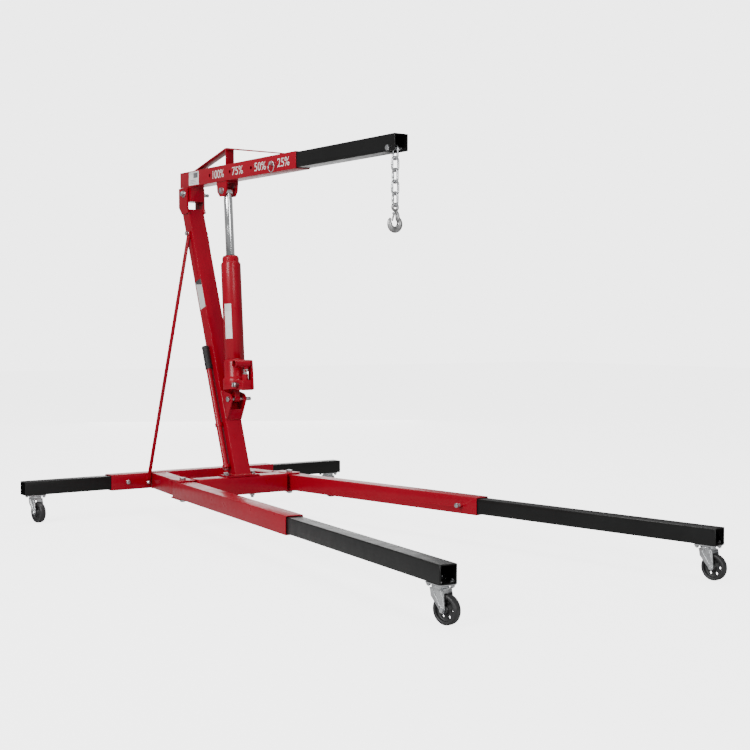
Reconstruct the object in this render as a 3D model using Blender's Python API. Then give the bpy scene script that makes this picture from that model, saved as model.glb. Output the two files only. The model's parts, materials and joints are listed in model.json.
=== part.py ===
"""Engine hoist crane: a steel base on four casters, a leaning mast, and a boom lifted by a hydraulic jack.

All lengths in this script are millimetres, and new_object turns them into metres. X points along the legs
and the boom, Z is up. Distances along X are counted from the foot of the mast, and one empty moves the
whole hoist so that its origin is the middle of the floor that it covers.
"""

import math

import bmesh
import bpy
from mathutils import Matrix, Vector

MM = 0.001
GAP = 0.3

# Square tubes: the outer size takes the inner size with a millimetre of play on each side.
OUTER_TUBE = 70.0
INNER_TUBE = 60.0
WALL = 4.0
BEAM_Z = 150.0
BOLT = 12.0
BOLT_HOLE = 13.0

# Base frame.
REAR_X = -440.0
REAR_HALF = 425.0
REAR_TIP = 825.0
REAR_EXT_START = 310.0
REAR_BOLT_Y = 346.0
RAIL_REAR_Y = 192.0
RAIL_FRONT_Y = 250.0
RAIL_FRONT_X = -62.0
CROSS_HALF = 226.0
CROSS_SIZE = 80.0
CROSS_Z = 153.0
PLATE_INNER_Y = 226.5
PLATE_OUTER_Y = 311.0
PLATE_REAR_X = -100.0
LOWER_PLATE_REAR_X = -76.0
PLATE_CORNER = 12.0
PLATE_FRONT_X = 22.0
PLATE_THICK = 6.0

# Legs: each turns on a vertical bolt.
PIVOT_X = -20.0
PIVOT_Y = 272.0
SPLAY = math.radians(8.2)
LEG_BACK = 34.0
LEG_MOUTH = 1160.0
LEG_TIP = 2215.0
LEG_EXT_START = 990.0
LEG_BOLT = 1080.0
WELD_NUT = 10.0
PIVOT_BOLT = 16.0

# Casters.
TUBE_BOTTOM = BEAM_Z - INNER_TUBE / 2
WHEEL_RADIUS = 45.0
WHEEL_WIDTH = 26.0
TRAIL = 24.0
CASTER_INSET = 45.0
REAR_CASTER_Y = 768.0

# Mast: a rectangular tube that leans back, with ears for the boom's pivot.
LEAN = math.radians(19.8)
MAST_DEPTH = 60.0
MAST_WIDTH = 78.0
MAST_BOTTOM = 205.5
MAST_TOP = 1392.0
HANDLE_SIDE = 56.5
GRIP_RADIUS = 15.5
EAR_OUTER = 47.0
BASE_PLATE = (-46.0, 40.0, 79.0)
BASE_PLATE_Z = (193.3, 200.0)

# Boom.
BOOM_PIVOT = (-421.0, 1462.0)
BOOM_Z = 1529.0
BOOM_REAR = -482.0
BOOM_MOUTH = 511.0
BOOM_TIP = 1172.0
BOOM_INNER_REAR = 298.0
BOOM_WALL = 3.0
BOOM_INNER = 63.2
PIN_HOLES = (-202.0, -22.0, 158.0, 338.0)
PIN_HOLE = 15.0
PIN = 13.0
TRUSS_REAR = -389.0
TRUSS_PEAK = -82.0
TRUSS_FRONT = 425.0
TRUSS_TOP = 1640.0
STRAP_WIDTH = 40.0
STRAP = 6.0

# Hydraulic jack, on the line between its two bolts.
JACK_FOOT = Vector((-29.0, 0.0, 532.0))
JACK_HEAD = Vector((-100.0, 0.0, 1453.0))
JACK_LINE = (JACK_HEAD - JACK_FOOT).normalized()
RAM_RADIUS = 19.5
CYLINDER_RADIUS = 44.0
RAM_START = 325.0
RAM_LENGTH = 586.0
LUG_INNER = 24.0
LUG_OUTER = 30.0
SOCKET_X = 48.0
SOCKET_Z = 690.0
SOCKET_END = 19.0

# Chain and hook.
CHAIN_BOLT_X = 1135.0
CHAIN_BOLT_Z = 1510.0
LINK_WIRE = 4.5
LINK_LENGTH = 52.4
LINK_WIDTH = 28.0
LINK_COUNT = 5
HOOK_WIRE = 5.0

# The directions that the caster wheels roll in, turned from X.
FRONT_LEFT_HEADING = 0.12
FRONT_RIGHT_HEADING = 0.17
REAR_HEADING = 0.14

# The rear bolts' ends and the front left wheel are the object's two ends along X.
REAR_BOLT_END = REAR_X - OUTER_TUBE / 2 - 12.0
FRONT_KINGPIN = LEG_TIP - CASTER_INSET
FRONT_END = (
    PIVOT_X + FRONT_KINGPIN * math.cos(SPLAY) + (TRAIL + WHEEL_RADIUS) * math.cos(FRONT_LEFT_HEADING)
)
MIDDLE_X = (REAR_BOLT_END + FRONT_END) / 2

SQUARE = ((-1, -1), (1, -1), (1, 1), (-1, 1))

# The exact solver leaves an open edge on these.
HARD_CUTS = ("boom_outer", "jack_lower_clevis")

RED = (0.60, 0.012, 0.028, 1)
BLACK = (0.018, 0.019, 0.021, 1)
ZINC = (0.62, 0.63, 0.64, 1)
CHROME = (0.80, 0.81, 0.82, 1)
DARK_STEEL = (0.12, 0.12, 0.13, 1)


def clear_scene():
    for obj in list(bpy.data.objects):
        bpy.data.objects.remove(obj)


def material(name, color, metallic, roughness):
    made = bpy.data.materials.new(name)
    made.use_nodes = True
    shader = made.node_tree.nodes["Principled BSDF"]
    shader.inputs["Base Color"].default_value = color
    shader.inputs["Metallic"].default_value = metallic
    shader.inputs["Roughness"].default_value = roughness
    return made


def new_object(name, mesh_builder, finish, origin=(0, 0, 0)):
    """Turns a bmesh in millimetres into an object in metres, with its origin at the given point."""
    bmesh.ops.translate(mesh_builder, verts=mesh_builder.verts, vec=-Vector(origin))
    bmesh.ops.scale(mesh_builder, verts=mesh_builder.verts, vec=(MM, MM, MM))
    bmesh.ops.recalc_face_normals(mesh_builder, faces=mesh_builder.faces)
    mesh = bpy.data.meshes.new(name)
    mesh_builder.to_mesh(mesh)
    mesh_builder.free()
    if finish:
        mesh.materials.append(material(name, *finish))
    obj = bpy.data.objects.new(name, mesh)
    obj.location = Vector(origin) * MM
    obj.parent = HOIST
    bpy.context.scene.collection.objects.link(obj)
    return obj


def smooth(obj, angle=40):
    obj.data.shade_smooth()
    obj.data.set_sharp_from_angle(angle=math.radians(angle))
    return obj


def boolean(obj, builders, operation):
    """Adds or cuts helper shapes; each builder is a bmesh in millimetres, in the same frame as the parts."""
    for number, builder in enumerate(builders):
        helper = new_object(f"{obj.name}_{operation.lower()}_{number}", builder, None)
        helper.hide_render = True
        helper.display_type = "WIRE"
        modifier = obj.modifiers.new(f"{operation.title()} {number}", "BOOLEAN")
        modifier.operation = operation
        modifier.object = helper
        modifier.solver = "MANIFOLD" if obj.name in HARD_CUTS else "EXACT"
    return obj


def join(obj, *builders):
    return boolean(obj, builders, "UNION")


def cut(obj, *builders):
    return boolean(obj, builders, "DIFFERENCE")


def prism(outline, place, low, high):
    """A flat outline, extruded along the third axis of place from low to high."""
    bm = bmesh.new()
    corners = [bm.verts.new((a, b, low)) for a, b in outline]
    face = bm.faces.new(corners)
    made = bmesh.ops.extrude_face_region(bm, geom=[face])
    moved = [item for item in made["geom"] if isinstance(item, bmesh.types.BMVert)]
    bmesh.ops.translate(bm, verts=moved, vec=(0, 0, high - low))
    bmesh.ops.transform(bm, matrix=place, verts=bm.verts)
    return bm


def axes(origin, along_x, along_y):
    """A placing matrix whose first two axes are given; the third is their cross product."""
    first = Vector(along_x).normalized()
    second = Vector(along_y).normalized()
    third = first.cross(second)
    rows = Matrix((first, second, third)).transposed().to_4x4()
    return Matrix.Translation(origin) @ rows


def upright(origin=(0, 0, 0)):
    return axes(origin, (1, 0, 0), (0, 1, 0))


def side_on(origin=(0, 0, 0)):
    """The outline lies in the XZ plane, and the thickness runs along -Y."""
    return axes(origin, (1, 0, 0), (0, 0, 1))


def box(x0, x1, y0, y1, z0, z1):
    return prism(((x0, y0), (x1, y0), (x1, y1), (x0, y1)), upright(), z0, z1)


def rectangle(width, height):
    return (
        (-width / 2, -height / 2),
        (width / 2, -height / 2),
        (width / 2, height / 2),
        (-width / 2, height / 2),
    )


def circle(radius, sides, turn=0.0):
    angles = [turn + 2 * math.pi * step / sides for step in range(sides)]
    return [(radius * math.cos(a), radius * math.sin(a)) for a in angles]


def arc(center, radius, start, end, steps):
    angles = [math.radians(start + (end - start) * step / steps) for step in range(steps + 1)]
    return [(center[0] + radius * math.cos(a), center[1] + radius * math.sin(a)) for a in angles]


def line_place(start, end, up=(0, 0, 1)):
    """A placing matrix whose third axis runs from start to end."""
    third = (Vector(end) - Vector(start)).normalized()
    first = Vector(up).cross(third)
    if first.length < 1e-6:
        first = Vector((1, 0, 0))
    first.normalize()
    second = third.cross(first)
    return Matrix.Translation(start) @ Matrix((first, second, third)).transposed().to_4x4()


def bar(start, end, outline, up=(0, 0, 1)):
    length = (Vector(end) - Vector(start)).length
    return prism(outline, line_place(start, end, up), 0, length)


def rod(start, end, radius, sides=24):
    return bar(start, end, circle(radius, sides))


def turned(profile, start, end, sides=24):
    """A solid of revolution; the profile holds (radius, distance from start) pairs, both ends on the axis."""
    bm = bmesh.new()
    place = line_place(start, end)
    points = [bm.verts.new((radius, 0, along)) for radius, along in profile]
    edges = [bm.edges.new(pair) for pair in zip(points, points[1:])]
    bmesh.ops.spin(
        bm, geom=points + edges, cent=(0, 0, 0), axis=(0, 0, 1), angle=2 * math.pi, steps=sides
    )
    bmesh.ops.remove_doubles(bm, verts=bm.verts, dist=0.01)
    bmesh.ops.transform(bm, matrix=place, verts=bm.verts)
    return bm


def tube_bar(name, start, end, size, finish, origin=(0, 0, 0), wall=WALL):
    """An open square tube between two points."""
    span = (Vector(end) - Vector(start)).normalized() * 5
    hollow = size - 2 * wall
    obj = new_object(name, bar(start, end, rectangle(size, size)), finish, origin)
    return cut(obj, bar(Vector(start) - span, Vector(end) + span, rectangle(hollow, hollow)))


def bolt(name, start, end, diameter, finish, origin=(0, 0, 0), head=18.0, depth=8.0, tail=2.0):
    """A bolt whose head sits before start; its thread stands out of the nut by the tail."""
    first, last = Vector(start), Vector(end)
    along = (last - first).normalized()
    hexagon = circle(head / 2 / math.cos(math.pi / 6), 6)
    shank = new_object(name, rod(first - along, last, diameter / 2, 16), finish, origin)
    head_shape = bar(first - along * depth, first, hexagon)
    nut_shape = bar(last - along * (depth + tail), last - along * tail, hexagon)
    return join(smooth(shank, 30), head_shape, nut_shape)


def clamp_screw(name, seat, tip, diameter, finish, origin, head=17.0, depth=9.0):
    """A screw without a nut, whose hexagon head stands out from its seat."""
    along = (Vector(tip) - Vector(seat)).normalized()
    shank = new_object(name, rod(seat - along, tip, diameter / 2, 16), finish, origin)
    hexagon = circle(head / 2 / math.cos(math.pi / 6), 6)
    return join(smooth(shank, 30), bar(seat - along * depth, seat, hexagon))


def pipe(points, radius, cyclic=False, resolution=2, radii=None):
    """A round bar along a smooth path, as a bmesh in millimetres."""
    curve = bpy.data.curves.new("path", "CURVE")
    curve.dimensions = "3D"
    curve.bevel_depth = radius
    curve.bevel_resolution = resolution
    curve.use_fill_caps = True
    spline = curve.splines.new("POLY")
    spline.points.add(len(points) - 1)
    for number, point in enumerate(points):
        spline.points[number].co = (*point, 1)
        spline.points[number].radius = radii[number] if radii else 1.0
    spline.use_cyclic_u = cyclic
    holder = bpy.data.objects.new("path", curve)
    mesh = bpy.data.meshes.new_from_object(holder)
    bm = bmesh.new()
    bm.from_mesh(mesh)
    bmesh.ops.remove_doubles(bm, verts=bm.verts, dist=0.001)
    bpy.data.objects.remove(holder)
    bpy.data.meshes.remove(mesh)
    return bm


def mast_point(height, forward=0.0, side=0.0):
    """A point on the mast: height above the floor along its middle line, and forward of that line."""
    along = (height - MAST_BOTTOM) / math.cos(LEAN)
    x = -along * math.sin(LEAN) + forward * math.cos(LEAN)
    z = MAST_BOTTOM + along * math.cos(LEAN) + forward * math.sin(LEAN)
    return Vector((x, side, z))


def build_base():
    paint = (RED, 0.0, 0.32)
    sleeve = tube_bar(
        "rear_beam_sleeve", (REAR_X, -REAR_HALF, BEAM_Z), (REAR_X, REAR_HALF, BEAM_Z), OUTER_TUBE, paint
    )
    cut(sleeve, *[rear_bolt_hole(side) for side in (-1, 1)])
    half = CROSS_SIZE / 2
    cross = box(-half, half, -CROSS_HALF, CROSS_HALF, CROSS_Z - half, CROSS_Z + half - GAP)
    new_object("front_cross_member", cross, paint)
    for side, label in ((1, "left"), (-1, "right")):
        build_rail(side, label, paint)
        build_plates(side, label, paint)
        build_rear_extension(side, label)
        build_leg(side, label, paint)


def rear_bolt_hole(side):
    reach = OUTER_TUBE
    y = side * REAR_BOLT_Y
    return rod((REAR_X - reach, y, BEAM_Z), (REAR_X + reach, y, BEAM_Z), BOLT_HOLE / 2, 16)


def rail_outline(side, inset, extra):
    """The side rail seen from above, narrower by inset on each side and longer by extra at each end."""
    rear = REAR_X + OUTER_TUBE / 2 + GAP
    slope = (RAIL_FRONT_Y - RAIL_REAR_Y) / (RAIL_FRONT_X - rear)
    across = (OUTER_TUBE / 2 - inset) * math.hypot(1, slope)
    x0, y0 = rear - extra, RAIL_REAR_Y - extra * slope
    x1, y1 = RAIL_FRONT_X + extra, RAIL_FRONT_Y + extra * slope
    corners = ((x0, y0 - across), (x1, y1 - across), (x1, y1 + across), (x0, y0 + across))
    return [(x, side * y) for x, y in corners]


def build_rail(side, label, paint):
    half = OUTER_TUBE / 2
    solid = prism(rail_outline(side, 0, 0), upright(), BEAM_Z - half, BEAM_Z + half)
    rail = new_object(f"{label}_side_rail", solid, paint)
    cut(rail, prism(rail_outline(side, WALL, 9), upright(), BEAM_Z - half + WALL, BEAM_Z + half - WALL))


def build_plates(side, label, paint):
    """The two plates that hold a leg between them, above and below."""
    half = OUTER_TUBE / 2
    top, bottom = BEAM_Z + half + GAP, BEAM_Z - half - GAP - PLATE_THICK
    for level, z, rear_x in (("upper", top, PLATE_REAR_X), ("lower", bottom, LOWER_PLATE_REAR_X)):
        outline = (
            (rear_x, side * PLATE_INNER_Y),
            (PLATE_FRONT_X, side * PLATE_INNER_Y),
            (PLATE_FRONT_X, side * (PLATE_OUTER_Y - PLATE_CORNER)),
            (PLATE_FRONT_X - PLATE_CORNER, side * PLATE_OUTER_Y),
            (rear_x, side * (PLATE_OUTER_Y - PLATE_CORNER)),
        )
        plate = new_object(
            f"{label}_{level}_leg_plate", prism(outline, upright(), z, z + PLATE_THICK), paint
        )
        pivot = (PIVOT_X, side * PIVOT_Y)
        cut(plate, rod((*pivot, z - 5), (*pivot, z + PLATE_THICK + 5), PIVOT_BOLT / 2 + 0.5, 20))


def build_rear_extension(side, label):
    start, tip = side * REAR_EXT_START, side * REAR_TIP
    extension = tube_bar(
        f"{label}_rear_extension", (REAR_X, start, BEAM_Z), (REAR_X, tip, BEAM_Z), INNER_TUBE,
        (BLACK, 0.0, 0.38),
    )
    cut(extension, rear_bolt_hole(side))
    y = side * REAR_BOLT_Y
    head = (REAR_X + OUTER_TUBE / 2 + GAP, y, BEAM_Z)
    bolt(f"{label}_rear_bolt", head, (REAR_BOLT_END, y, BEAM_Z), BOLT, (ZINC, 1.0, 0.35))


def build_leg(side, label, paint):
    black = (BLACK, 0.0, 0.38)
    zinc = (ZINC, 1.0, 0.35)
    pivot = Vector((PIVOT_X, side * PIVOT_Y, BEAM_Z))
    along = Vector((math.cos(SPLAY), side * math.sin(SPLAY), 0))
    outward = Vector((-math.sin(SPLAY), side * math.cos(SPLAY), 0))
    sleeve = tube_bar(
        f"{label}_leg_sleeve", pivot - along * LEG_BACK, pivot + along * LEG_MOUTH,
        OUTER_TUBE, paint, pivot,
    )
    upright_hole = rod(pivot - Vector((0, 0, 60)), pivot + Vector((0, 0, 60)), PIVOT_BOLT / 2 + 0.5, 20)
    crossing = pivot + along * LEG_BOLT
    face = OUTER_TUBE / 2
    hexagon = circle(11.5, 6)
    join(sleeve, bar(crossing - outward * (face - 1), crossing - outward * (face + WELD_NUT), hexagon))
    side_hole = rod(crossing - outward * 15, crossing - outward * 60, BOLT_HOLE / 2, 16)
    cut(sleeve, upright_hole, side_hole)
    extension = tube_bar(
        f"{label}_leg_extension", pivot + along * LEG_EXT_START, pivot + along * LEG_TIP,
        INNER_TUBE, black, pivot,
    )
    cut(extension, rod(crossing - outward * 15, crossing - outward * 60, BOLT_HOLE / 2, 16))
    clamp_screw(
        f"{label}_leg_bolt", crossing - outward * (face + 22), crossing - outward * 18, BOLT, zinc, pivot,
    )
    top = BEAM_Z + OUTER_TUBE / 2 + PLATE_THICK + 2 * GAP
    bottom = BEAM_Z - OUTER_TUBE / 2 - PLATE_THICK - 14
    bolt(
        f"{label}_leg_pivot_bolt", (pivot.x, pivot.y, top), (pivot.x, pivot.y, bottom),
        PIVOT_BOLT, zinc, pivot, head=24.0, depth=10.0,
    )


def build_caster(name, place, plate_turn, heading):
    """A swivel caster: its plate is bolted square under a tube, and its wheel trails behind the kingpin."""
    zinc = (ZINC, 1.0, 0.38)
    x, y = place
    top = TUBE_BOTTOM - GAP
    turn = Matrix.Rotation(heading, 3, "Z")

    def spot(forward, side, z):
        return Vector((x, y, z)) + turn @ Vector((forward, side, 0))

    def slab(half_forward, half_side, angle, z0, z1):
        corners = Matrix.Rotation(angle, 3, "Z")
        points = [corners @ Vector((a * half_forward, b * half_side, 0)) for a, b in SQUARE]
        return prism([(x + point.x, y + point.y) for point in points], upright(), z0, z1)

    plate = new_object(f"{name}_caster_plate", slab(38, 29, plate_turn, top - 4, top), zinc)
    race = turned(((0, 0), (23, 0), (27, 5), (25, 10), (0, 10)), (x, y, top - 4 + 0.5), (x, y, top - 20), 20)
    join(plate, race)
    fork_top = top - 14
    axle_z = WHEEL_RADIUS
    fork = new_object(
        f"{name}_caster_fork", slab(25, 20, heading, fork_top - 3.5, fork_top), zinc, (x, y, 0)
    )
    for side in (-1, 1):
        cheek_place = axes(spot(0, side * 18.5, 0), turn @ Vector((1, 0, 0)), (0, 0, 1))
        cheek = (
            [(-24, fork_top - 1), (-20, fork_top - 24)]
            + arc((TRAIL, axle_z), 9, 200, 360, 8)
            + [(30, fork_top - 18), (26, fork_top - 1)]
        )
        join(fork, prism(cheek, cheek_place, -1.6, 1.6))
    join(fork, rod(spot(TRAIL, -22, axle_z), spot(TRAIL, 22, axle_z), 4, 12))
    half = WHEEL_WIDTH / 2
    profile = (
        (4.6, half + 1), (12, half + 1), (14, half - 3), (32, half - 3), (WHEEL_RADIUS - 4, half),
        (WHEEL_RADIUS, half - 6), (WHEEL_RADIUS, 6 - half),
        (WHEEL_RADIUS - 4, -half), (32, 3 - half), (14, 3 - half), (12, -half - 1), (4.6, -half - 1),
        (4.6, half + 1),
    )
    axle = spot(TRAIL, 0, axle_z)
    wheel = new_object(
        f"{name}_caster_wheel", turned(profile, axle, spot(TRAIL, 10, axle_z), 28),
        (BLACK, 0.0, 0.5), axle,
    )
    smooth(wheel, 35)


def build_casters():
    for side, label, heading in ((1, "left", FRONT_LEFT_HEADING), (-1, "right", FRONT_RIGHT_HEADING)):
        build_caster(f"{label}_rear", (REAR_X, side * REAR_CASTER_Y), math.pi / 2, REAR_HEADING)
        tip = (
            PIVOT_X + FRONT_KINGPIN * math.cos(SPLAY), side * (PIVOT_Y + FRONT_KINGPIN * math.sin(SPLAY))
        )
        build_caster(f"{label}_front", tip, side * SPLAY, heading)


def build_mast():
    paint = (RED, 0.0, 0.32)
    zinc = (ZINC, 1.0, 0.35)
    dx = MAST_DEPTH / 2 / math.cos(LEAN)
    bottom, top = mast_point(BASE_PLATE_Z[1] - 1), mast_point(MAST_TOP)
    outline = (
        (bottom.x - dx, bottom.z), (bottom.x + dx, bottom.z), (top.x + dx, top.z), (top.x - dx, top.z)
    )
    half = MAST_WIDTH / 2
    mast = new_object("mast_column", prism(outline, side_on(), -half, half), paint)
    thin = WALL / math.cos(LEAN)
    over = mast_point(MAST_TOP + 20)
    start = mast_point(MAST_BOTTOM + 6)
    hollow = (
        (start.x - dx + thin, start.z), (start.x + dx - thin, start.z),
        (over.x + dx - thin, over.z), (over.x - dx + thin, over.z),
    )
    cut(mast, prism(hollow, side_on(), -half + WALL, half - WALL))
    x0, x1, half_y = BASE_PLATE
    join(mast, box(x0, x1, -half_y, half_y, *BASE_PLATE_Z))
    ear = (
        (-409, 1370), (-382, 1376), (-394, 1398), (-398, 1490), (-473, 1490), (-473, 1402), (-444, 1370)
    )
    pivot = (BOOM_PIVOT[0], BOOM_PIVOT[1])
    for side in (-1, 1):
        low, high = sorted((side * (half - 1), side * EAR_OUTER))
        join(mast, prism(ear, side_on(), low, high))
    cut(mast, rod((pivot[0], -60, pivot[1]), (pivot[0], 60, pivot[1]), PIVOT_BOLT / 2 + 0.5, 20))
    build_clevis(paint, zinc)
    for side, label in ((1, "left"), (-1, "right")):
        build_brace(side, label, paint)
    bolt(
        "boom_pivot_bolt", (pivot[0], -EAR_OUTER - 9, pivot[1]), (pivot[0], 80, pivot[1]),
        PIVOT_BOLT, zinc, (pivot[0], 0, pivot[1]), head=20.0, depth=9.0, tail=20.0,
    )


def build_brace(side, label, paint):
    """A flat bar from the mast's side to the rear beam, with a flattened tongue at each end."""
    upper = Vector((-379, side * 47.5, 1268))
    lower = Vector((REAR_X + OUTER_TUBE / 2 + 8, side * 246, BEAM_Z + 8))
    brace = new_object(f"{label}_brace", bar(upper, lower, rectangle(16, 8), (1, 0, 0.3)), paint)
    low, high = sorted((side * (MAST_WIDTH / 2 + GAP), side * (MAST_WIDTH / 2 + GAP + 7)))
    tab = box(upper.x - 15, upper.x + 9, low, high, upper.z - 12, upper.z + 22)
    tongue_x = REAR_X + OUTER_TUBE / 2 + GAP
    tongue = box(
        tongue_x, tongue_x + 6, lower.y - 12, lower.y + 12, BEAM_Z - 16, BEAM_Z + 24
    )
    join(brace, tongue, tab)


def build_clevis(paint, zinc):
    """Two ears on the mast's front face, welded along their rear edges and over a short foot."""
    foot = JACK_FOOT
    low = mast_point(430, MAST_DEPTH / 2 + GAP)
    high = mast_point(558, MAST_DEPTH / 2 + GAP)
    outline = (
        [(low.x, low.z), (low.x + 6, low.z)]
        + arc((foot.x, foot.z), 25, -28, 90, 8)
        + [(high.x + 12, high.z), (high.x, high.z)]
    )
    clevis = new_object("jack_lower_clevis", prism(outline, side_on(), -38, -32), paint)
    rear = mast_point(476, MAST_DEPTH / 2 + GAP)
    web = ((low.x, low.z), (low.x + 5, low.z), (rear.x + 40, rear.z), (rear.x, rear.z))
    join(clevis, prism(outline, side_on(), 32, 38), prism(web, side_on(), -37, 37))
    cut(clevis, rod((foot.x, -60, foot.z), (foot.x, 60, foot.z), PIVOT_BOLT / 2 + 0.5, 20))
    bolt(
        "jack_lower_bolt", (foot.x, -38 - GAP, foot.z), (foot.x, 72, foot.z), PIVOT_BOLT, zinc,
        tuple(foot), head=22.0, depth=9.0, tail=24.0,
    )


def along_jack(distance, side=0.0):
    return JACK_FOOT + JACK_LINE * distance + Vector((0, side, 0))


def build_jack():
    paint = (RED, 0.0, 0.28)
    foot = tuple(JACK_FOOT)
    block_low, block_high = along_jack(42), along_jack(176)
    base = new_object("jack_base", turned(
        ((0, 0), (55, 0), (57, 3), (57, 46), (49, 56), (49, 122), (44, 134), (0, 134)),
        block_low, block_high, 32,
    ), paint, foot)
    tongue = prism(
        [(-14, 46), (-14, 0)] + arc((0, 0), 14, 180, 360, 10) + [(14, 46)],
        axes(JACK_FOOT, (JACK_LINE.z, 0, -JACK_LINE.x), JACK_LINE), -13, 13,
    )
    pump = box(-6, 66, -24, 31, 574, 618)
    gusset = ((34, 600), (74, 577), (67, 660), (62, 700), (56, 706), (40, 706), (34, 700))
    tower = rod((SOCKET_X, 0, 610), (SOCKET_X, 0, 644), 13.5, 24)
    join(base, tongue, pump, prism(gusset, side_on(), -31, -SOCKET_END - 5), tower)
    cut(base, rod((SOCKET_X, 0, 614), (SOCKET_X, 0, 650), 8.6, 20))
    cut(base, rod((foot[0], -40, foot[2]), (foot[0], 40, foot[2]), PIVOT_BOLT / 2 + 0.5, 20))
    smooth(base)
    tube = (
        (0, 0), (CYLINDER_RADIUS, 0), (CYLINDER_RADIUS, 424), (41, 430), (37, 430), (37, 450), (32, 458),
        (0, 458),
    )
    cylinder = new_object(
        "jack_cylinder", turned(tube, along_jack(176.5), along_jack(700), 32), paint, foot
    )
    bore = rod(along_jack(200), along_jack(700), RAM_RADIUS + 1, 28)
    cut(smooth(cylinder), bore)
    rod_profile = (
        (0, 0), (RAM_RADIUS - 1, 0), (RAM_RADIUS, 2), (RAM_RADIUS, RAM_LENGTH - 2),
        (RAM_RADIUS - 1, RAM_LENGTH), (0, RAM_LENGTH),
    )
    ram = new_object(
        "jack_ram", turned(rod_profile, along_jack(RAM_START), along_jack(RAM_START + RAM_LENGTH), 24),
        (CHROME, 1.0, 0.12), foot,
    )
    eye = prism(
        circle(17, 24), axes(JACK_HEAD, (JACK_LINE.z, 0, -JACK_LINE.x), JACK_LINE), -18, 18
    )
    reach = Vector((0, 30, 0))
    cut(join(smooth(ram), eye), rod(JACK_HEAD - reach, JACK_HEAD + reach, 8.5, 20))
    build_pump(paint)
    lug = ((-148, 1493.7), (-58, 1493.7), (-62, 1450), (-80, 1428), (-120, 1428), (-142, 1450))
    bracket = new_object("boom_jack_bracket", prism(lug, side_on(), -LUG_OUTER, -LUG_INNER), paint)
    join(
        bracket, prism(lug, side_on(), LUG_INNER, LUG_OUTER),
        box(-148, -58, -LUG_OUTER, LUG_OUTER, 1487.7, 1493.7),
    )
    head = JACK_HEAD
    cut(bracket, rod((head.x, -60, head.z), (head.x, 60, head.z), 8.5, 20))
    reach = LUG_INNER - 0.6
    new_object(
        "jack_upper_pin", rod((head.x, -reach, head.z), (head.x, reach, head.z), 8, 20),
        (ZINC, 1.0, 0.35), tuple(head),
    )


def build_pump(paint):
    """The lever with the handle's socket, which rocks on its end at the gusset, and its plunger."""
    fulcrum = (SOCKET_X, SOCKET_END, SOCKET_Z)
    sleeve = rod((SOCKET_X, -56, SOCKET_Z), (SOCKET_X, SOCKET_END, SOCKET_Z), 17, 24)
    socket = new_object("pump_socket", sleeve, paint, fulcrum)
    for x in (SOCKET_X - 13.5, SOCKET_X + 9.5):
        join(socket, box(x, x + 4, -9, 9, 655, SOCKET_Z - 12))
    cut(socket, rod((SOCKET_X, -60, SOCKET_Z), (SOCKET_X, 10, SOCKET_Z), 13.6, 20))
    smooth(socket)
    plunger = new_object("pump_plunger", turned(
        ((0, 0), (8, 0), (8, 44), (6, 46), (0, 46)), (SOCKET_X, 0, 622.4), (SOCKET_X, 0, 668.4), 20
    ), (CHROME, 1.0, 0.15), (SOCKET_X, 0, 622.4))
    smooth(plunger)
    valve = new_object("release_valve", turned(
        ((0, 0), (7, 0), (7, 10), (11, 12), (11, 22), (9, 24), (0, 24)), (30, -24.4, 598), (30, -60, 598), 16
    ), (DARK_STEEL, 1.0, 0.4), (30, 0, 598))
    smooth(valve)


def build_handle():
    """The pump handle, stored along the mast's side."""
    start = mast_point(232, -10, -HANDLE_SIDE)
    split = mast_point(664, -10, -HANDLE_SIDE)
    end = mast_point(766, -10, -HANDLE_SIDE)
    along = (end - start).normalized()
    reach = (split - start).length + 60
    bar_profile = ((0, 0), (11.5, 0), (12.5, 1.5), (12.5, reach), (0, reach))
    handle = new_object(
        "pump_handle", turned(bar_profile, start, end, 20), (RED, 0.0, 0.32), tuple(start)
    )
    smooth(handle)
    length = (end - split).length
    grip_profile = (
        (0, 0), (GRIP_RADIUS - 1, 0), (GRIP_RADIUS, 2), (GRIP_RADIUS, length - 5),
        (GRIP_RADIUS - 3, length), (0, length),
    )
    grip = new_object(
        "handle_grip", turned(grip_profile, split, end, 24), (BLACK, 0.0, 0.7), tuple(start)
    )
    smooth(cut(grip, rod(split - along * 5, split + along * 60.5, 12.9, 20)))


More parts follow.
